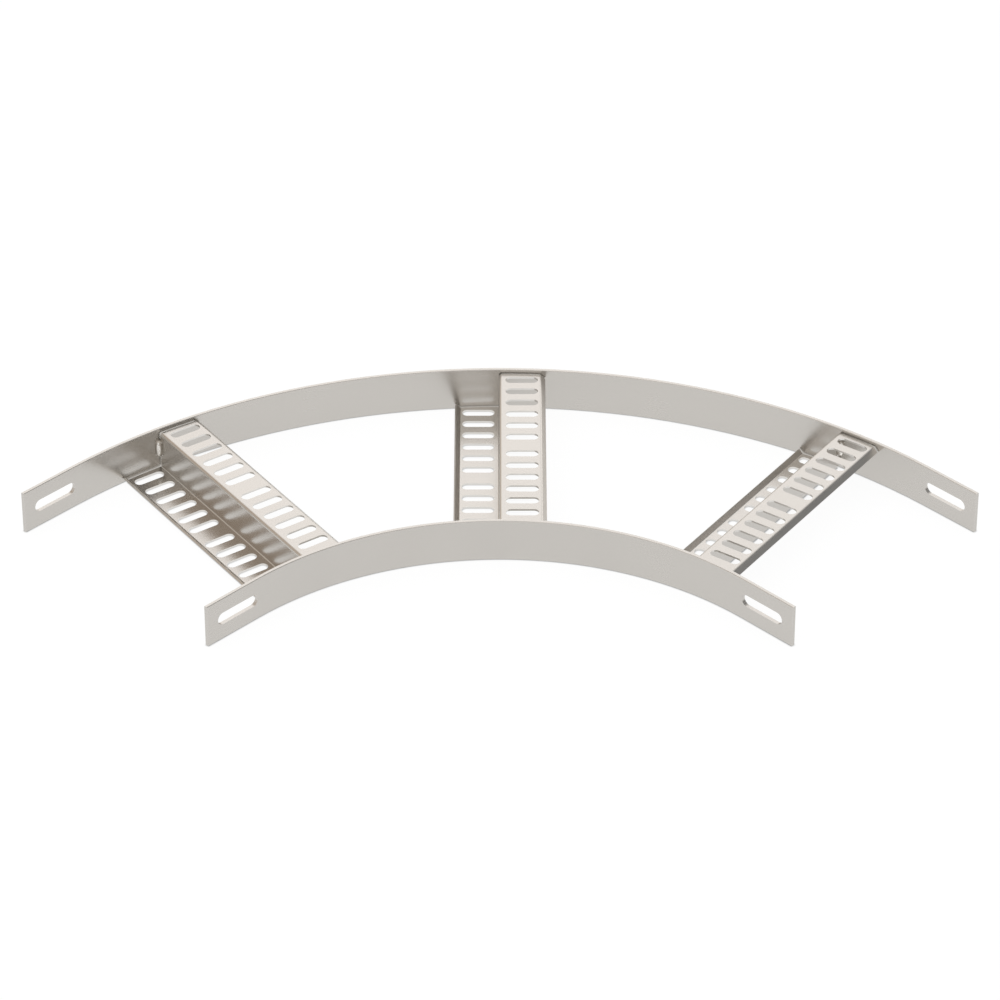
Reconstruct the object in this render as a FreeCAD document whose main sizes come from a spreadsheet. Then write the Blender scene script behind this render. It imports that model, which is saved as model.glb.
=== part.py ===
import FreeCAD, Part
import math
import operator
import os

import Sketcher

# A 90 degree bend of a light cable ladder: two bent flat bar side rails carry three perforated
# rungs, each folded from sheet to a Z section with stiffening lips and welded in at both ends.
# The bend turns from the X axis to the Y axis, its straight ends run along -Y and -X, and the
# ladder lies flat, rails and low flats on Z = 0, centred on the origin.

# Driving dimensions in millimetres, angles in degrees
SIZES = {
    "bend_radius": 250,        # inside of the bend: radius of the inner rail's inside face
    "ladder_width": 200,       # clear width between the rails
    "rail_thickness": 3,
    "rail_height": 35,
    "rail_straight": 50,       # straight end of a rail beyond the bend
    "rail_edge": 0.4,          # broken edge of the flat bar
    "end_slot_length": 39.5,   # slot for the splice bolts
    "end_slot_height": 10,
    "end_slot_from_end": 30,   # slot centre from the rail's end
    "end_slot_level": 17.5,    # slot centre above the rail's lower edge
    "rung_spacing": 34.85,     # angle from the middle rung to each outer one
    "rung_sheet": 1.5,         # sheet thickness
    "rung_width": 70,
    "rung_height": 32,
    "rung_bend": 1,            # inside radius of each fold
    "lip_reach": 3.7,          # how far a lip stands out beyond its flat
    "lip_drop": 3.7,           # how far a lip turns down, or up on the low flat
    "slot_width": 8,           # perforation, across the rung
    "slot_from_web": 4.25,     # slot's one end from the middle of the upright web
    "slot_from_edge": 5.75,    # slot's other end from the rung's edge
    "slot_pitch": 15.5,
    "slot_group_step": 22.5,   # centre to centre over the solid patch at mid rung
    "slot_from_inner_rail": 12.7,
    "slot_from_outer_rail": 8,  # least distance of the last slot's centre
    "weld_gap": 1.5,           # between the rung's curved ends and the rails
    "weld_height": 12.5,       # fillet weld at each end of the web
    "weld_leg": 3.7,           # reach along the rail and along the web
    "weld_level": 18.5,        # middle of the weld above the rail's lower edge
}

SHEET = "Sizes"
MIDDLE_RUNG_ANGLE = -45        # half way round the quarter turn
HIGH_SIDE, LOW_SIDE = 1, -1    # sides of a rung's web, under the high flat and over the low one
NEAR = 1e-4                    # how close an edge must lie to a point to be that edge


class Size:
    """A size as the number it has now and as the expression that ties it to the sheet."""

    def __init__(self, number, text):
        self.number = number
        self.text = text

    def join(self, sign, operation, other):
        if not isinstance(other, Size):
            other = Size(other, str(other))
        return Size(operation(self.number, other.number), f"({self.text} {sign} {other.text})")

    def __add__(self, other):
        return self.join("+", operator.add, other)

    def __sub__(self, other):
        return self.join("-", operator.sub, other)

    def __mul__(self, other):
        return self.join("*", operator.mul, other)

    def __truediv__(self, other):
        return self.join("/", operator.truediv, other)


def size(name):
    return Size(SIZES[name], f"{SHEET}.{name}")


def whole(value):
    return Size(math.floor(value.number), f"floor({value.text})")


# Sizes that follow from the driving ones
inner_rail_back = size("bend_radius") + size("rail_thickness")
outer_rail_face = inner_rail_back + size("ladder_width")
outer_rail_back = outer_rail_face + size("rail_thickness")
plan_centre = (outer_rail_back - size("rail_straight")) / 2
slot_length = size("rung_width") / 2 - size("slot_from_web") - size("slot_from_edge")
slot_room = (size("ladder_width") - size("slot_from_inner_rail") - size("slot_group_step")
             - size("slot_from_outer_rail")) / 2
slots_in_group = whole(slot_room / size("slot_pitch")) + 1


def make_sheet(doc):
    """Spreadsheet with one row for each driving dimension."""
    sheet = doc.addObject("Spreadsheet::Sheet", SHEET)
    for row, (name, number) in enumerate(SIZES.items(), 1):
        sheet.set(f"A{row}", name)
        sheet.set(f"B{row}", str(number))
        sheet.setAlias(f"B{row}", name)
    doc.recompute()


def origin_feature(body, role):
    return next(feature for feature in body.Origin.OriginFeatures if feature.Role == role)


def make_sketch(body, name, plane, offset=None):
    """Sketch on a plane of the body's origin, moved along the plane's normal by offset."""
    sketch = body.newObject("Sketcher::SketchObject", name)
    sketch.AttachmentSupport = [(origin_feature(body, plane), "")]
    sketch.MapMode = "FlatFace"
    if offset:
        sketch.setExpression("AttachmentOffset.Base.z", offset.text)
    return sketch


def dimension(sketch, kind, value, *where):
    """Dimensional constraint tied to the sheet."""
    index = sketch.addConstraint(Sketcher.Constraint(kind, *where, value.number))
    sketch.setExpression(f"Constraints[{index}]", value.text)


def relate(sketch, kind, *pairs):
    """The same geometric constraint on each set of elements."""
    for where in pairs:
        sketch.addConstraint(Sketcher.Constraint(kind, *where))


def line(start, end):
    return Part.LineSegment(FreeCAD.Vector(*start, 0), FreeCAD.Vector(*end, 0))


def arc(centre, radius, start, end):
    """Arc from one angle to another, in quarter turns."""
    circle = Part.Circle(FreeCAD.Vector(*centre, 0), FreeCAD.Vector(0, 0, 1), radius)
    return Part.ArcOfCircle(circle, start * math.pi / 2, end * math.pi / 2)


def draw_obround(sketch, side, reach, level, length, width):
    """Slot with round ends: its far end's centre lies at reach to one side of the origin."""
    far = side * reach.number
    near = far - side * (length.number - width.number)
    left, right = sorted((far, near))
    low, high = level.number - width.number / 2, level.number + width.number / 2
    first = sketch.GeometryCount
    right_arc, top, left_arc, bottom = range(first, first + 4)
    sketch.addGeometry([
        arc((right, level.number), width.number / 2, -1, 1),
        line((right, high), (left, high)),
        arc((left, level.number), width.number / 2, 1, 3),
        line((left, low), (right, low)),
    ])
    relate(sketch, "Tangent", (right_arc, 2, top, 1), (top, 2, left_arc, 1),
           (left_arc, 2, bottom, 1), (bottom, 2, right_arc, 1))
    relate(sketch, "Horizontal", (top,), (bottom,))
    dimension(sketch, "Radius", width / 2, right_arc)
    dimension(sketch, "DistanceX", length - width, left_arc, 3, right_arc, 3)
    if side > 0:
        dimension(sketch, "DistanceX", reach, -1, 1, right_arc, 3)
        dimension(sketch, "DistanceY", level, -1, 1, right_arc, 3)
    else:
        dimension(sketch, "DistanceX", reach, left_arc, 3, -1, 1)
        dimension(sketch, "DistanceY", level, -1, 1, left_arc, 3)


def pad(body, name, sketch, length, reverse=False):
    feature = body.newObject("PartDesign::Pad", name)
    feature.Profile = sketch
    feature.setExpression("Length", length.text)
    feature.Reversed = reverse
    sketch.Visibility = False
    body.Document.recompute()
    return feature


def cut_through(body, name, sketch, reverse=False):
    """Pocket through everything on one side of the sketch, which has to remove metal."""
    before = body.Shape.Volume
    feature = body.newObject("PartDesign::Pocket", name)
    feature.Profile = sketch
    feature.Type = "ThroughAll"
    feature.Reversed = reverse
    sketch.Visibility = False
    body.Document.recompute()
    if body.Shape.Volume > before - 1:
        raise RuntimeError(f"{body.Label}: {name} cuts nothing")
    return feature


def break_edges(body, name, base, edges, width):
    feature = body.newObject("PartDesign::Chamfer", name)
    feature.Base = (base, edges)
    feature.setExpression("Size", width.text)
    body.Document.recompute()
    return feature


def round_edges(body, name, base, edges, radius):
    feature = body.newObject("PartDesign::Fillet", name)
    feature.Base = (base, edges)
    feature.setExpression("Radius", radius.text)
    body.Document.recompute()
    return feature


def place(body, angle=None):
    """Moves a body from the bend's centre to the ladder's frame, turned about the Z axis."""
    body.setExpression("Placement.Base.x", f"-{plan_centre.text}")
    body.setExpression("Placement.Base.y", f"-{plan_centre.text}")
    if angle:
        body.Placement.Rotation = FreeCAD.Rotation(FreeCAD.Vector(0, 0, 1), angle.number)
        body.setExpression("Placement.Rotation.Angle", angle.text)


def draw_rail_plan(sketch, face):
    """Plan of a rail whose inside face bends at the radius of face."""
    inside, outside = face.number, face.number + SIZES["rail_thickness"]
    end = -SIZES["rail_straight"]
    centre = (0, 0)
    sketch.addGeometry([
        line((inside, end), (inside, 0)),
        arc(centre, inside, 0, 1),
        line((0, inside), (end, inside)),
        line((end, inside), (end, outside)),
        line((end, outside), (0, outside)),
        arc(centre, outside, 0, 1),
        line((outside, 0), (outside, end)),
        line((outside, end), (inside, end)),
    ])
    relate(sketch, "Coincident", (1, 3, -1, 1), (5, 3, -1, 1), (2, 2, 3, 1), (3, 2, 4, 1),
           (6, 2, 7, 1), (7, 2, 0, 1))
    relate(sketch, "Tangent", (0, 2, 1, 1), (1, 2, 2, 1), (4, 2, 5, 2), (5, 1, 6, 1))
    relate(sketch, "Vertical", (0,), (3,), (6,))
    relate(sketch, "Horizontal", (2,), (4,), (7,))
    dimension(sketch, "Radius", face, 1)
    dimension(sketch, "DistanceX", size("rail_thickness"), 0, 1, 6, 2)
    dimension(sketch, "DistanceY", size("rail_straight"), 0, 1, 0, 2)
    dimension(sketch, "DistanceX", size("rail_straight"), 2, 2, 2, 1)


def long_edges(shape):
    """Names of a rail's lengthwise edges: all level ones but those of the cut ends."""
    end = -SIZES["rail_straight"] + NEAR
    names = []
    for number, edge in enumerate(shape.Edges, 1):
        box = edge.BoundBox
        if box.ZLength < NEAR and box.XMax > end and box.YMax > end:
            names.append(f"Edge{number}")
    return names


def make_rail(doc, name, face):
    """Bent flat bar on edge, with an obround slot near each end."""
    body = doc.addObject("PartDesign::Body", name)
    plan = make_sketch(body, f"{name}_plan", "XY_Plane")
    draw_rail_plan(plan, face)
    bar = pad(body, f"{name}_bar", plan, size("rail_height"))
    break_edges(body, f"{name}_edges", bar, long_edges(bar.Shape), size("rail_edge"))
    length, height = size("end_slot_length"), size("end_slot_height")
    reach = size("rail_straight") - size("end_slot_from_end") + (length - height) / 2
    for end, plane, away in (("first", "YZ_Plane", True), ("last", "XZ_Plane", False)):
        outline = make_sketch(body, f"{name}_{end}_slot", plane)
        draw_obround(outline, -1, reach, size("end_slot_level"), length, height)
        cut_through(body, f"{name}_{end}_slot_cut", outline, reverse=away)
    place(body)
    return body


def rung_section():
    """Corners of the Z section, sharp, across the rung and up, the high flat to the right."""
    sheet, top = SIZES["rung_sheet"], SIZES["rung_height"]
    web = sheet / 2
    edge = SIZES["rung_width"] / 2
    fold = edge - SIZES["lip_reach"]
    drop = SIZES["lip_drop"]
    slope = math.atan2(drop, SIZES["lip_reach"])
    back = (sheet * math.sin(slope), sheet * math.cos(slope))
    inner_fold = fold - sheet * math.tan(slope / 2)
    high_side = [
        (-web, top),
        (fold, top),
        (edge, top - drop),
        (edge - back[0], top - drop - back[1]),
        (inner_fold, top - sheet),
        (web, top - sheet),
    ]
    low_side = [(-across, top - up) for across, up in high_side]
    return high_side + low_side


def draw_rung_section(sketch, corners):
    count = len(corners)
    sketch.addGeometry([line(corners[i], corners[(i + 1) % count]) for i in range(count)])
    relate(sketch, "Coincident", *[(i, 2, (i + 1) % count, 1) for i in range(count)])
    relate(sketch, "Horizontal", (0,), (4,), (6,), (10,))
    relate(sketch, "Vertical", (5,), (11,))
    relate(sketch, "PointOnObject", (6, 1, -1))
    dimension(sketch, "DistanceY", size("rung_height"), 6, 1, 0, 1)
    dimension(sketch, "DistanceX", size("rung_sheet") / 2, 0, 1, -1, 1)
    dimension(sketch, "DistanceX", size("rung_sheet") / 2, -1, 1, 6, 1)
    dimension(sketch, "DistanceY", size("rung_sheet"), 5, 1, 0, 1)
    dimension(sketch, "DistanceY", size("rung_sheet"), 6, 1, 11, 1)
    half_width = size("rung_width") / 2
    dimension(sketch, "DistanceX", half_width, -1, 1, 1, 2)
    dimension(sketch, "DistanceX", size("lip_reach"), 1, 1, 1, 2)
    dimension(sketch, "DistanceY", size("lip_drop"), 1, 2, 1, 1)
    dimension(sketch, "DistanceX", half_width, 7, 2, -1, 1)
    dimension(sketch, "DistanceX", size("lip_reach"), 7, 2, 7, 1)
    dimension(sketch, "DistanceY", size("lip_drop"), 7, 1, 7, 2)
    for lip in (1, 7):
        relate(sketch, "Perpendicular", (lip, lip + 1))
        relate(sketch, "Parallel", (lip, lip + 2))
        dimension(sketch, "Distance", size("rung_sheet"), lip + 1)


def fold_edges(shape, corners):
    """Names of the edges along the rung that run through the given corners of its section."""
    names = []
    for number, edge in enumerate(shape.Edges, 1):
        middle = edge.CenterOfMass
        if any(math.hypot(middle.x - across, middle.z - up) < NEAR for across, up in corners):
            names.append(f"Edge{number}")
    return names


def trim_ends(body, name, inner_radius, outer_radius):
    """Cuts the rung's ends to two circles about the bend's centre."""
    waste_radius = outer_radius + size("rung_width")
    outline = make_sketch(body, f"{name}_outline", "XY_Plane")
    for index, radius in enumerate((inner_radius, outer_radius, waste_radius)):
        outline.addGeometry(Part.Circle(FreeCAD.Vector(), FreeCAD.Vector(0, 0, 1), radius.number))
        relate(outline, "Coincident", (index, 3, -1, 1))
        dimension(outline, "Radius", radius, index)
    cut_through(body, name, outline, reverse=True)


def add_weld(body, name, face, inward, side):
    """Fillet weld from one side of the web's end to a rail's face, which bends past its foot."""
    leg, sunk = size("weld_leg"), size("rail_thickness")
    tip = size("rung_sheet") / 2
    foot = tip + leg + sunk
    root, crest = face - sunk * inward, face + leg * inward
    corners = [(foot, side, root), (tip, side, crest), (tip, -side, crest), (tip, -side, root)]
    points = [(across.number * way, along.number) for across, way, along in corners]
    count = len(points)
    outline = make_sketch(body, f"{name}_outline", "XY_Plane",
                          size("weld_level") - size("weld_height") / 2)
    outline.addGeometry([line(points[i], points[(i + 1) % count]) for i in range(count)])
    relate(outline, "Coincident", *[(i, 2, (i + 1) % count, 1) for i in range(count)])
    relate(outline, "Horizontal", (1,), (3,))
    relate(outline, "Vertical", (2,))
    for index, (across, way, _) in enumerate(corners[:3]):
        where = (-1, 1, index, 1) if way > 0 else (index, 1, -1, 1)
        dimension(outline, "DistanceX", across, *where)
    dimension(outline, "DistanceY", root, -1, 1, 0, 1)
    dimension(outline, "DistanceY", crest, -1, 1, 1, 1)
    pad(body, name, outline, size("weld_height"))


def make_rung(doc, name, angle, weld_side):
    """Folded, perforated rung whose ends are cut to the rails' curves and carry a weld each."""
    body = doc.addObject("PartDesign::Body", name)
    corners = rung_section()
    section = make_sketch(body, f"{name}_section", "XZ_Plane", size("bend_radius") * -1)
    draw_rung_section(section, corners)
    blank_length = outer_rail_face - size("bend_radius")
    blank = pad(body, f"{name}_blank", section, blank_length, reverse=True)
    outside = [corners[i] for i in (0, 1, 6, 7)]
    inside = [corners[i] for i in (4, 5, 10, 11)]
    outer_radius = size("rung_bend") + size("rung_sheet")
    folds = round_edges(body, f"{name}_outer_folds", blank,
                        fold_edges(blank.Shape, outside), outer_radius)
    round_edges(body, f"{name}_inner_folds", folds,
                fold_edges(folds.Shape, inside), size("rung_bend"))
    trim_ends(body, f"{name}_ends", inner_rail_back + size("weld_gap"),
              outer_rail_face - size("weld_gap"))
    reach = size("rung_width") / 2 - size("slot_from_edge") - size("slot_width") / 2
    row_length = size("slot_pitch") * (slots_in_group - 1)
    row_start = inner_rail_back + size("slot_from_inner_rail")
    for row in ("inner", "outer"):
        outline = make_sketch(body, f"{name}_{row}_slots", "XY_Plane")
        for side in (1, -1):
            draw_obround(outline, side, reach, row_start, slot_length, size("slot_width"))
        cut = cut_through(body, f"{name}_{row}_slots_cut", outline, reverse=True)
        repeat_along(body, f"{name}_{row}_slot_row", cut, row_length)
        row_start = row_start + row_length + size("slot_group_step")
    add_weld(body, f"{name}_inner_weld", inner_rail_back, 1, weld_side)
    add_weld(body, f"{name}_outer_weld", outer_rail_face, -1, weld_side)
    trim_ends(body, f"{name}_weld_ends", inner_rail_back, outer_rail_face)
    place(body, angle)
    return body


def repeat_along(body, name, feature, length):
    """Row of copies along the rung, over the given length."""
    row = body.newObject("PartDesign::LinearPattern", name)
    row.Originals = [feature]
    row.Direction = (origin_feature(body, "Y_Axis"), [""])
    row.setExpression("Length", length.text)
    row.setExpression("Occurrences", slots_in_group.text)
    body.Tip = row
    body.Document.recompute()


def check(doc, bodies):
    """Stops the script if any object failed, any sketch is loose or any body isn't one solid."""
    for item in doc.Objects:
        if "Invalid" in item.State or "Error" in item.State:
            raise RuntimeError(f"{item.Label} failed: {item.State}")
        if item.isDerivedFrom("Sketcher::SketchObject") and not item.FullyConstrained:
            raise RuntimeError(f"{item.Label} isn't fully constrained")
    for body in bodies:
        if body.Shape.isNull() or not body.Shape.isValid() or len(body.Shape.Solids) != 1:
            raise RuntimeError(f"{body.Label} isn't one valid solid")


def export(bodies):
    os.makedirs("parts", exist_ok=True)
    for body in bodies:
        body.Shape.exportStep(f"parts/{body.Label}.step")
        box = body.Shape.optimalBoundingBox()
        print(body.Label, f"{body.Shape.Volume:.1f} mm3,",
              f"X {box.XMin:.2f} to {box.XMax:.2f}, Y {box.YMin:.2f} to {box.YMax:.2f},",
              f"Z {box.ZMin:.2f} to {box.ZMax:.2f}")


def main():
    doc = FreeCAD.newDocument("cable_ladder_bend")
    make_sheet(doc)
    middle = Size(MIDDLE_RUNG_ANGLE, str(MIDDLE_RUNG_ANGLE))
    bodies = [
        make_rail(doc, "inner_side_rail", size("bend_radius")),
        make_rail(doc, "outer_side_rail", outer_rail_face),
        make_rung(doc, "rung_left", middle + size("rung_spacing"), LOW_SIDE),
        make_rung(doc, "rung_middle", middle, HIGH_SIDE),
        make_rung(doc, "rung_right", middle - size("rung_spacing"), HIGH_SIDE),
    ]
    doc.recompute()
    check(doc, bodies)
    export(bodies)


main()
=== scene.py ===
import math

import bpy
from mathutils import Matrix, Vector


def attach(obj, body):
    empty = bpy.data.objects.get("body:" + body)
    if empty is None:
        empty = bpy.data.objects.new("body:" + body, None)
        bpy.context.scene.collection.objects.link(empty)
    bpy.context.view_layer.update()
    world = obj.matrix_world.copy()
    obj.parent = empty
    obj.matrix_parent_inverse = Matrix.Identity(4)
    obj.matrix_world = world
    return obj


# Looks of a 90 degree cable ladder bend in rolled stainless steel, lying in a white studio.
# Metres, Z up, in the CAD model's frame. The bend is symmetric about the line X = Y.

MM = 0.001

# Plan of the ladder, as in the CAD model
BEND_CENTRE = Vector((-203 * MM, -203 * MM, 0))
INNER_RAIL_BACK = 253 * MM
OUTER_RAIL_FACE = 453 * MM
MIDDLE_ANGLE = math.radians(-45)
RUNG_SPACING = math.radians(34.85)
# Each rung's angle and the side of its web that is welded: 1 under the high flat, -1 over the low
RUNGS = {
    "rung_left": (MIDDLE_ANGLE + RUNG_SPACING, -1),
    "rung_middle": (MIDDLE_ANGLE, 1),
    "rung_right": (MIDDLE_ANGLE - RUNG_SPACING, 1),
}
RUNG_MIDDLE = (INNER_RAIL_BACK + OUTER_RAIL_FACE) / 2   # from the bend's centre
SLOT_REACH = 96.5 * MM              # the slots lie this near the middle of a rung
RAILS = ("inner_side_rail", "outer_side_rail")

# Weld beads, a little fuller than the plain fillets in the CAD model
WEB_HALF = 0.75 * MM                # half the sheet's thickness
WELD_LEVEL = 18.5 * MM              # height of the beads' middle
BEAD_HALF_HEIGHT = 7.3 * MM
BEAD_RADIUS = 4.0 * MM
BEAD_SINK = 0.1 * MM
BEAD_BLUNTNESS = 4                  # 2 would make the bead's ends round
BEAD_RINGS, BEAD_POINTS = 60, 14
RIPPLE_DEPTH = 0.05 * MM
RIPPLE_PITCH = 1.2 * MM
RIPPLE_BOW = 3                      # how far a ripple's middle is shifted, in radians
CROWN_HALF_HEIGHT = 6.3 * MM        # the painted highlight on the bead's crown is leaf-shaped
CROWN_HALF_WIDTH = 0.25             # share of the bead's quarter turn

# Camera: beyond the bend's centre, on the hollow side, looking down at the ladder
CAMERA_BACK = 2854.64 * MM      # level distance from the bend's centre
CAMERA_HEIGHT = 2225.44 * MM
CAMERA_TILT = math.radians(34.969)
CAMERA_LENS = 184.54            # mm on a 36 mm sensor

# Steel surfaces
STEEL = (0.575, 0.552, 0.520)
WORN_AND_PAINTED_LIGHT_STEEL = (0.72, 0.70, 0.67, 1)    # edges, lighter partly from wear and partly as a painted highlight, and painted light on the punched slots' walls
RAIL_WEAR_AND_HIGHLIGHT = 0.3 * MM                    # how far in from an edge the wear and the painted highlight reach
RUNG_WEAR_AND_HIGHLIGHT = 0.35 * MM
EDGE_AGREEMENT = (0.75, 0.98)           # of rounded and true facing, at full wear and painted highlight and at none
PAINTED_LIGHT_WALL_FACING = (0.15, 0.5)               # along the rung, from a flat's to a slot wall's, which gets painted light
NOISE_RANGE = (0.3, 0.7)                # where most of a noise lies
GRAIN_SCALES = (20, 1100, 1100)         # per metre, along the rolling direction and across it
GRAIN_SHADE = (-0.006, 0.006)
GRAIN_ROUGHNESS = (-0.008, 0.008)
SMUDGE_SCALE = 14
SMUDGE_SHADE = (0.985, 1.01)
SMUDGE_ROUGHNESS = (0.23, 0.28)
WAVE_SCALE = 22                         # slight waves left in the flats by rolling
SLOPE = math.sin(math.radians(45))      # of the rungs' lips and the rails' broken edges
SLOPE_MISS = (0.05, 0.10)               # how far off it the dullness starts to fade and ends
LIP_DULLNESS = 0.12                     # roughness that bending added to the lips
BROKEN_EDGE_DULLNESS = 0.30
HAZE_SHARE = 0.12                       # part of the gloss that is spread wide
HAZE_ROUGHNESS = 0.5

# Weld metal, with a painted highlight on the crown and painted shade at the borders
CROWN_PAINTED_HIGHLIGHT = (0.90, 0.88, 0.84, 1)
BORDER_PAINTED_SHADE = (0.42, 0.39, 0.35, 1)
BORDER_SCALE = 600
BORDER_RAGGEDNESS = (-0.2, 0.2)
FULLY_BRIGHT = 0.25                     # crown value from which the painted highlight is at its brightest
SCALE_SPECKS = (0.22, 0.18, 0.14, 1)
SPECK_SCALE = 900
SPECK_RANGE = (0.56, 0.64)              # of the noise, from no speck to a full one
SPECK_SHARE = 0.75
PIT_SCALE = 1400
WELD_ROUGHNESS = 0.28

# White surroundings: the backdrop's light on the floor, and how white the floor looks
FILL_LIGHT = 0.9
FLOOR_SIZE = 60
FLOOR_GLOW = 0.925
FLOOR_SHADE = (0.10, 0.10, 0.10, 1)     # the part of the floor's white that takes shadow
FLOOR_WHITE = (0.8, 0.8, 0.8, 1)
PAINTED_CONTACT_SHADOW_REACH = 1.5 * MM                # how far the painted contact shadow at the ladder's foot reaches
DOME_RADIUS = 8
WHITE = (1, 1, 1, 1)

# Studio dome: its even light, then areas that add light or take it away, each with its azimuth
# and elevation, how far it spreads (all in degrees) and the red, green and blue that it adds
DOME_LIGHT = (0.67, 0.63, 0.59)
DOME_AREAS = (
    (-3, 39, 19, (0.86, 0.88, 0.92)),       # softbox behind, over the ladder
    (178, 34, 29, (0.62, 0.64, 0.66)),      # softbox behind the camera
    (73, 28, 27, (-0.50, -0.45, -0.40)),    # dark flag on the right
    (112, 35, 16, (-0.30, -0.29, -0.28)),   # its darker edge towards the camera
    (34, 3, 16, (1.35, 1.33, 1.30)),        # low light behind on the right
    (317, 2, 25, (0.02, -0.05, -0.13)),     # slightly browner room behind on the left
    (248, 33, 20, (0.35, 0.36, 0.37)),      # weak fill on the left
    (294, 37, 15, (-0.20, -0.26, -0.30)),   # brown wall high on the left, a little behind
)
LEAST_LIGHT = (0.03, 0.03, 0.03)


def make_camera():
    """Camera on the bend's line of symmetry, on the hollow side, looking down at the ladder."""
    data = bpy.data.cameras.new("camera")
    data.sensor_width = 36
    data.lens = CAMERA_LENS
    data.clip_end = 100
    camera = bpy.data.objects.new("camera", data)
    bpy.context.collection.objects.link(camera)
    level = CAMERA_BACK / math.sqrt(2)
    camera.location = BEND_CENTRE + Vector((-level, -level, CAMERA_HEIGHT))
    camera.rotation_euler = (math.pi / 2 - CAMERA_TILT, 0, MIDDLE_ANGLE)
    bpy.context.scene.camera = camera


class Nodes:
    """Short forms for building a node tree."""

    def __init__(self, owner):
        owner.use_nodes = True
        self.tree = owner.node_tree
        self.tree.nodes.clear()

    def new(self, kind, inputs=None, **settings):
        """Node of a kind, with each input set to a value or linked to another node's output."""
        node = self.tree.nodes.new(f"ShaderNode{kind}")
        for name, value in settings.items():
            setattr(node, name, value)
        for name, value in (inputs or {}).items():
            if isinstance(value, bpy.types.NodeSocket):
                self.tree.links.new(value, node.inputs[name])
            else:
                node.inputs[name].default_value = value
        return node

    def math(self, operation, *values):
        node = self.new("Math", dict(enumerate(values)), operation=operation)
        return node.outputs[0]

    def vector(self, operation, *values):
        node = self.new("VectorMath", dict(enumerate(values)), operation=operation)
        return node.outputs[1 if operation in ("LENGTH", "DOT_PRODUCT") else 0]

    def noise(self, place, scale, detail=2):
        inputs = {"Vector": place, "Scale": scale, "Detail": detail}
        return self.new("TexNoise", inputs).outputs["Fac"]

    def remap(self, value, low, high, to_low, to_high):
        inputs = {"Value": value, "From Min": low, "From Max": high,
                  "To Min": to_low, "To Max": to_high}
        return self.new("MapRange", inputs).outputs[0]


def seen_directly_or_mirrored(nodes):
    """1 for camera, glossy and transmission rays."""
    path = nodes.new("LightPath").outputs
    seen = nodes.math("MAXIMUM", path["Is Camera Ray"], path["Is Glossy Ray"])
    return nodes.math("MAXIMUM", seen, path["Is Transmission Ray"])


def make_world():
    """White backdrop, which looks a little whiter than the light that it gives the floor."""
    world = bpy.data.worlds.new("studio")
    bpy.context.scene.world = world
    nodes = Nodes(world)
    shine = nodes.new("Background", {"Color": WHITE, "Strength": 1.0})
    fill = nodes.new("Background", {"Color": WHITE, "Strength": FILL_LIGHT})
    mix = nodes.new("MixShader", {0: seen_directly_or_mirrored(nodes),
                                  1: fill.outputs[0], 2: shine.outputs[0]})
    nodes.new("OutputWorld", {"Surface": mix.outputs[0]})


def make_floor():
    """White floor: it glows enough to match the backdrop, and keeps a faint shadow where the
    ladder is near and a painted contact shadow, darkening its glow, where it touches."""
    bpy.ops.mesh.primitive_plane_add(size=FLOOR_SIZE)
    floor = bpy.context.object
    floor.name = "floor"
    material = bpy.data.materials.new("floor_white")
    nodes = Nodes(material)
    lit = nodes.new("BsdfDiffuse", {"Color": FLOOR_SHADE})
    # painted contact shadow: occlusion darkens the floor's glow where the ladder touches
    painted_contact_shadow = nodes.new("AmbientOcclusion", {"Distance": PAINTED_CONTACT_SHADOW_REACH}, samples=8).outputs["Color"]
    mirrored = nodes.new("LightPath").outputs["Is Glossy Ray"]
    shade = nodes.new("MixRGB", {"Fac": mirrored, "Color1": painted_contact_shadow, "Color2": WHITE})
    glow = nodes.new("Emission", {"Color": shade.outputs[0], "Strength": FLOOR_GLOW})
    both = nodes.new("AddShader", {0: lit.outputs[0], 1: glow.outputs[0]})
    plain = nodes.new("BsdfDiffuse", {"Color": FLOOR_WHITE})
    mix = nodes.new("MixShader", {0: seen_directly_or_mirrored(nodes),
                                  1: plain.outputs[0], 2: both.outputs[0]})
    nodes.new("OutputMaterial", {"Surface": mix.outputs[0]})
    floor.data.materials.append(material)


def towards(azimuth, elevation):
    """Direction from the ladder. Azimuth 0 is straight behind it, 90 to its right."""
    turn, lift = math.radians(45 - azimuth), math.radians(elevation)
    return Vector((math.cos(turn) * math.cos(lift), math.sin(turn) * math.cos(lift),
                   math.sin(lift)))


def make_dome():
    """Studio dome that lights the metal: even light with soft brighter and darker areas."""
    bpy.ops.mesh.primitive_uv_sphere_add(segments=64, ring_count=32, radius=DOME_RADIUS)
    dome = bpy.context.object
    dome.name = "dome"
    for way in ("camera", "diffuse", "shadow", "transmission", "volume_scatter"):
        setattr(dome, f"visible_{way}", False)
    material = bpy.data.materials.new("dome_light")
    nodes = Nodes(material)
    place = nodes.vector("NORMALIZE", nodes.new("TexCoord").outputs["Object"])
    light = DOME_LIGHT
    for azimuth, elevation, spread, colour in DOME_AREAS:
        nearness = nodes.vector("DOT_PRODUCT", place, towards(azimuth, elevation))
        falloff = nodes.math("DIVIDE", nodes.math("SUBTRACT", nearness, 1.0),
                             math.radians(spread) ** 2)
        share = nodes.math("EXPONENT", falloff)
        light = nodes.vector("ADD", light, nodes.vector("MULTIPLY", share, colour))
    light = nodes.vector("MAXIMUM", light, LEAST_LIGHT)
    glow = nodes.new("Emission", {"Color": light, "Strength": 1.0})
    nodes.new("OutputMaterial", {"Surface": glow.outputs[0]})
    dome.data.materials.append(material)


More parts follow.
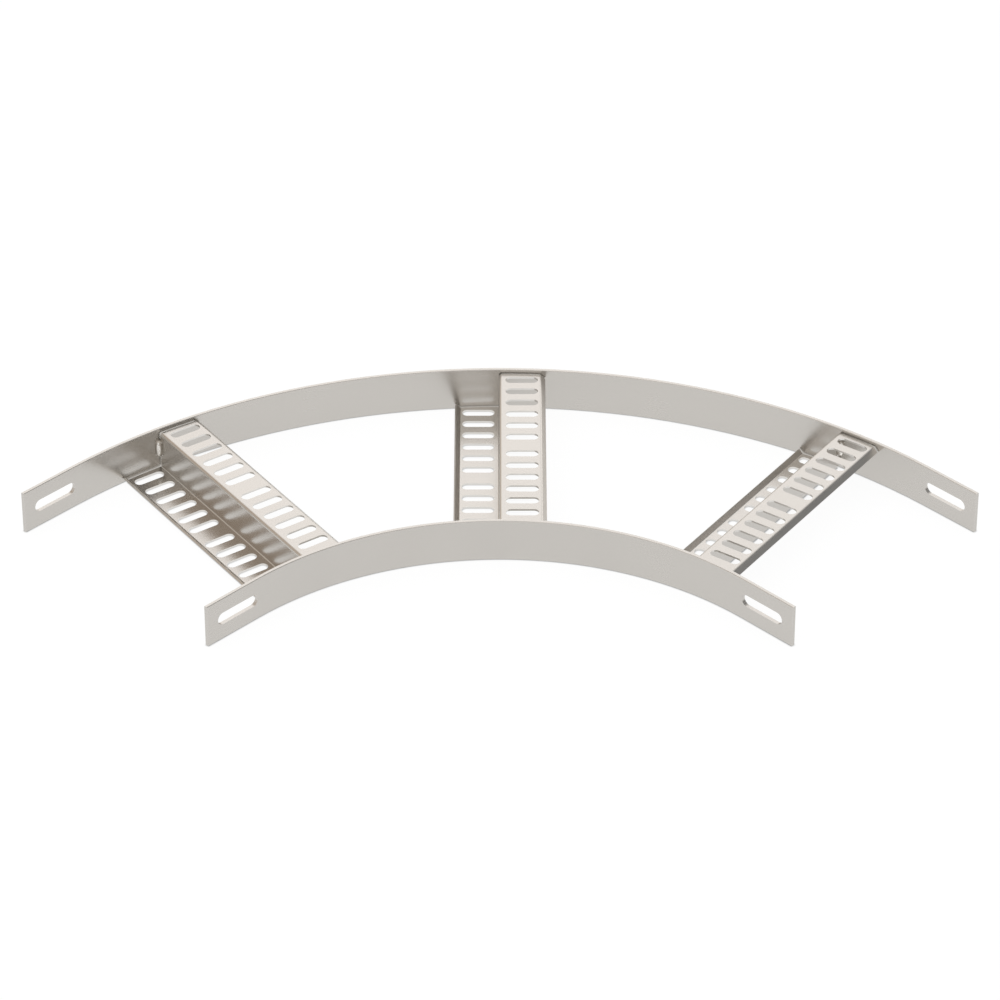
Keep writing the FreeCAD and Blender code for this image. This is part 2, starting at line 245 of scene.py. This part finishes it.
def worn_and_painted_light_parts(nodes, place, true_normal, wear_and_highlight_reach, length_axis):
    """1 at edges, for wear and a painted highlight. With a rung's length axis, also 1 on its slots'
    walls, for painted light, and 0 beyond its slots.
    """
    rounded = nodes.new("Bevel", {"Radius": wear_and_highlight_reach}, samples=4).outputs[0]
    agreement = nodes.vector("DOT_PRODUCT", rounded, true_normal)
    wear_and_painted_light = nodes.remap(agreement, *EDGE_AGREEMENT, 1.0, 0.0)
    if not length_axis:
        return wear_and_painted_light
    facing = nodes.math("ABSOLUTE", nodes.vector("DOT_PRODUCT", true_normal, length_axis))
    # slot walls get painted light, standing in for the light they would reflect
    wear_and_painted_light = nodes.math("MAXIMUM", wear_and_painted_light, nodes.remap(facing, *PAINTED_LIGHT_WALL_FACING, 0.0, 1.0))
    distance = nodes.new("SeparateXYZ", {0: place}).outputs["X"]
    from_middle = nodes.math("ABSOLUTE", nodes.math("SUBTRACT", distance, RUNG_MIDDLE))
    among_slots = nodes.remap(from_middle, SLOT_REACH, SLOT_REACH + MM, 1.0, 0.0)
    return nodes.math("MULTIPLY", wear_and_painted_light, among_slots)


def steel(name, along, wear_and_highlight_reach, sloped_dullness, length_axis=None):
    """Rolled stainless steel, brighter where it is worn, with a painted highlight at its edges and
    painted light on slot walls, and duller where it slopes. Along gives, from the node builder,
    where a point lies along and across the rolling direction and up."""
    material = bpy.data.materials.new(name)
    nodes = Nodes(material)
    place = along(nodes)
    grain = nodes.noise(nodes.vector("MULTIPLY", place, GRAIN_SCALES), 1.0, detail=3)
    smudge = nodes.noise(place, SMUDGE_SCALE, detail=3)
    waves = nodes.noise(place, WAVE_SCALE, detail=1)
    shade = nodes.math("ADD", nodes.remap(grain, *NOISE_RANGE, *GRAIN_SHADE),
                       nodes.remap(smudge, *NOISE_RANGE, *SMUDGE_SHADE))
    colour = nodes.new("VectorMath", {0: STEEL, "Scale": shade}, operation="SCALE")
    rough = nodes.math("ADD", nodes.remap(grain, *NOISE_RANGE, *GRAIN_ROUGHNESS),
                       nodes.remap(smudge, *NOISE_RANGE, *SMUDGE_ROUGHNESS))
    true_normal = nodes.new("NewGeometry").outputs["True Normal"]
    upward = nodes.math("ABSOLUTE", nodes.new("SeparateXYZ", {0: true_normal}).outputs["Z"])
    off_slope = nodes.math("ABSOLUTE", nodes.math("SUBTRACT", upward, SLOPE))
    rough = nodes.math("ADD", rough, nodes.remap(off_slope, *SLOPE_MISS, sloped_dullness, 0.0))
    wear_and_painted_light = worn_and_painted_light_parts(nodes, place, true_normal, wear_and_highlight_reach, length_axis)
    # lighter steel at edges and slot walls: partly wear, partly painted highlight and painted light
    colour = nodes.new("MixRGB", {"Fac": wear_and_painted_light, "Color1": colour.outputs[0],
                                  "Color2": WORN_AND_PAINTED_LIGHT_STEEL})
    wavy = nodes.new("Bump", {"Height": waves, "Strength": 0.15, "Distance": 1 * MM})
    common = {"Base Color": colour.outputs[0], "Metallic": 1.0, "Normal": wavy.outputs[0]}
    gloss = nodes.new("BsdfPrincipled", {**common, "Roughness": rough})
    haze = nodes.new("BsdfPrincipled", {**common, "Roughness": HAZE_ROUGHNESS})
    metal = nodes.new("MixShader", {0: HAZE_SHARE, 1: gloss.outputs[0], 2: haze.outputs[0]})
    nodes.new("OutputMaterial", {"Surface": metal.outputs[0]})
    return material


def along_bend(nodes):
    """Arc length round the bend, distance from its centre and height."""
    place = nodes.new("TexCoord").outputs["Object"]
    parts = nodes.new("SeparateXYZ", {0: nodes.vector("SUBTRACT", place, BEND_CENTRE)}).outputs
    turn = nodes.math("ARCTAN2", parts["Y"], parts["X"])
    flat = nodes.new("CombineXYZ", {0: parts["X"], 1: parts["Y"]}).outputs[0]
    radius = nodes.vector("LENGTH", flat)
    length = nodes.math("MULTIPLY", turn, RUNG_MIDDLE)
    return nodes.new("CombineXYZ", {0: length, 1: radius, 2: parts["Z"]}).outputs[0]


def along_rung(angle):
    """Distance along the rung, across it and height, from the bend's centre."""
    def along(nodes):
        place = nodes.new("TexCoord").outputs["Object"]
        place = nodes.vector("SUBTRACT", place, BEND_CENTRE)
        turned = nodes.new("VectorRotate", {"Vector": place, "Angle": math.pi / 2 + angle},
                           rotation_type="Z_AXIS", invert=True)
        return turned.outputs[0]
    return along


def weld_steel():
    """Weld metal: a painted highlight on its crown, painted shade towards its borders, and dark
    specks of scale.
    """
    material = bpy.data.materials.new("weld_steel")
    nodes = Nodes(material)
    place = nodes.new("TexCoord").outputs["Object"]
    specks = nodes.remap(nodes.noise(place, SPECK_SCALE), *SPECK_RANGE, 0.0, SPECK_SHARE)
    painted_highlight_crown = nodes.new("Attribute", attribute_name="painted_highlight_crown").outputs["Fac"]
    border = nodes.remap(nodes.noise(place, BORDER_SCALE), *NOISE_RANGE, *BORDER_RAGGEDNESS)
    ragged = nodes.math("ADD", painted_highlight_crown, border)
    # painted highlight on the crown, fading to painted shade at the ragged borders
    painted_highlight_and_shade = nodes.new("MixRGB", {"Fac": nodes.remap(ragged, 0.0, FULLY_BRIGHT, 0.0, 1.0),
                                 "Color1": BORDER_PAINTED_SHADE, "Color2": CROWN_PAINTED_HIGHLIGHT})
    colour = nodes.new("MixRGB", {"Fac": specks, "Color1": painted_highlight_and_shade.outputs[0],
                                  "Color2": SCALE_SPECKS})
    pits = nodes.new("Bump", {"Height": nodes.noise(place, PIT_SCALE), "Strength": 0.25,
                              "Distance": 0.1 * MM})
    metal = nodes.new("BsdfPrincipled", {"Base Color": colour.outputs[0], "Metallic": 1.0,
                                         "Roughness": WELD_ROUGHNESS,
                                         "Normal": pits.outputs[0]})
    nodes.new("OutputMaterial", {"Surface": metal.outputs[0]})
    return material


def add_bead(name, angle, side, face, inward, material):
    """Rippled bead over the fillet between a side of a rung's web and a rail's face. Its painted
    highlight value falls from 1 in the middle to 0 at the border of the leaf-shaped painted
    highlight."""
    across = Vector((math.cos(angle), math.sin(angle), 0))
    along = Vector((-math.sin(angle), math.cos(angle), 0))
    verts, faces, painted_highlight_crown = [], [], []
    for ring in range(BEAD_RINGS + 1):
        height = 2 * ring / BEAD_RINGS - 1
        up = height * BEAD_HALF_HEIGHT
        fullness = (1 - height ** BEAD_BLUNTNESS) ** (1 / BEAD_BLUNTNESS)
        for point in range(BEAD_POINTS + 1):
            turn = math.radians(90) * point / BEAD_POINTS
            phase = 2 * math.pi * up / RIPPLE_PITCH + RIPPLE_BOW * math.sin(2 * turn)
            radius = (BEAD_RADIUS + RIPPLE_DEPTH * math.sin(phase)) * fullness
            out = side * (WEB_HALF - BEAD_SINK + radius * math.sin(turn))
            place = across * out + along * (face + inward * (radius * math.cos(turn) - BEAD_SINK))
            verts.append(BEND_CENTRE + place + Vector((0, 0, WELD_LEVEL + up)))
            # painted highlight value: 1 in the bead's middle, 0 at the leaf's border
            off_crown = (point / BEAD_POINTS - 0.5) / CROWN_HALF_WIDTH
            painted_highlight_crown.append(1 - (up / CROWN_HALF_HEIGHT) ** 2 - off_crown ** 2)
    row = BEAD_POINTS + 1
    for ring in range(BEAD_RINGS):
        for point in range(BEAD_POINTS):
            corner = ring * row + point
            corners = (corner, corner + 1, corner + row + 1, corner + row)
            faces.append(corners if side * inward > 0 else corners[::-1])
    mesh = bpy.data.meshes.new(name)
    mesh.from_pydata(verts, [], faces)
    mesh.attributes.new("painted_highlight_crown", "FLOAT", "POINT").data.foreach_set("value", painted_highlight_crown)
    mesh.shade_smooth()
    mesh.materials.append(material)
    bead = bpy.data.objects.new(name, mesh)
    bpy.context.collection.objects.link(bead)
    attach(bead, "root")


def dress(solids):
    """Steel for every solid, and a bead over each weld."""
    bar = steel("flat_bar_steel", along_bend, RAIL_WEAR_AND_HIGHLIGHT, BROKEN_EDGE_DULLNESS)
    for name in RAILS:
        solids[name].data.materials[0] = bar
    weld = weld_steel()
    for name, (angle, side) in RUNGS.items():
        length_axis = (-math.sin(angle), math.cos(angle), 0)
        sheet = steel(f"{name}_steel", along_rung(angle), RUNG_WEAR_AND_HIGHLIGHT, LIP_DULLNESS, length_axis)
        solids[name].data.materials[0] = sheet
        add_bead(f"{name}_inner_bead", angle, side, INNER_RAIL_BACK, 1, weld)
        add_bead(f"{name}_outer_bead", angle, side, OUTER_RAIL_FACE, -1, weld)


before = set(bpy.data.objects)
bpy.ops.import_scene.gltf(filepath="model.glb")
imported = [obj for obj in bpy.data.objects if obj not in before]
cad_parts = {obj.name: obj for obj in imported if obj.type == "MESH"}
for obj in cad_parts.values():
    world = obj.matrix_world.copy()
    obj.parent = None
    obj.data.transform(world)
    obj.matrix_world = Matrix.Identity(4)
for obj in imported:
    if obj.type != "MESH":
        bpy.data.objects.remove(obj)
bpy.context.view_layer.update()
bpy.context.scene.view_settings.view_transform = "Standard"
make_camera()
make_world()
make_floor()
make_dome()
dress(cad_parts)
